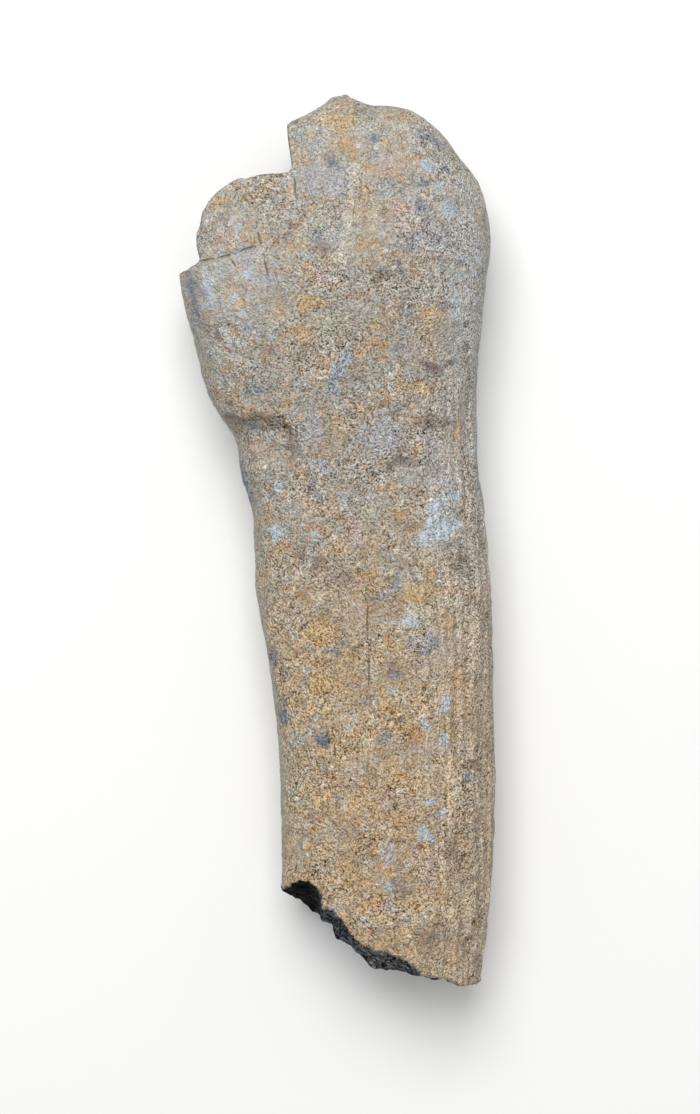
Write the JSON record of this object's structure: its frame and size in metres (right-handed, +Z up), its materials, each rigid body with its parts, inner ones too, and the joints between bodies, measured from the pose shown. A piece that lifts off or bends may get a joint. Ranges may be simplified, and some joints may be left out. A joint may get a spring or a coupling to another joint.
{
  "type": "fossil limb bone",
  "caption": "Fossilised limb bone of a large reptile, lying flat: flared head with stepped broken edge, shaft snapped off slantwise with an open marrow hollow.",
  "frame": {"origin": "middle of the footprint, on the surface the bone lies on", "axes": "+Y along the bone towards its flared head, +Z up through its upper face, +X to the right seen from above"},
  "size_m": [0.1064, 0.2986, 0.0594],
  "materials": {
    "fossil_bone": "rough, weathered, matte"
  },
  "bodies": {
    "root": {"limb_bone": "fossil_bone"}
  },
  "joints": []
}
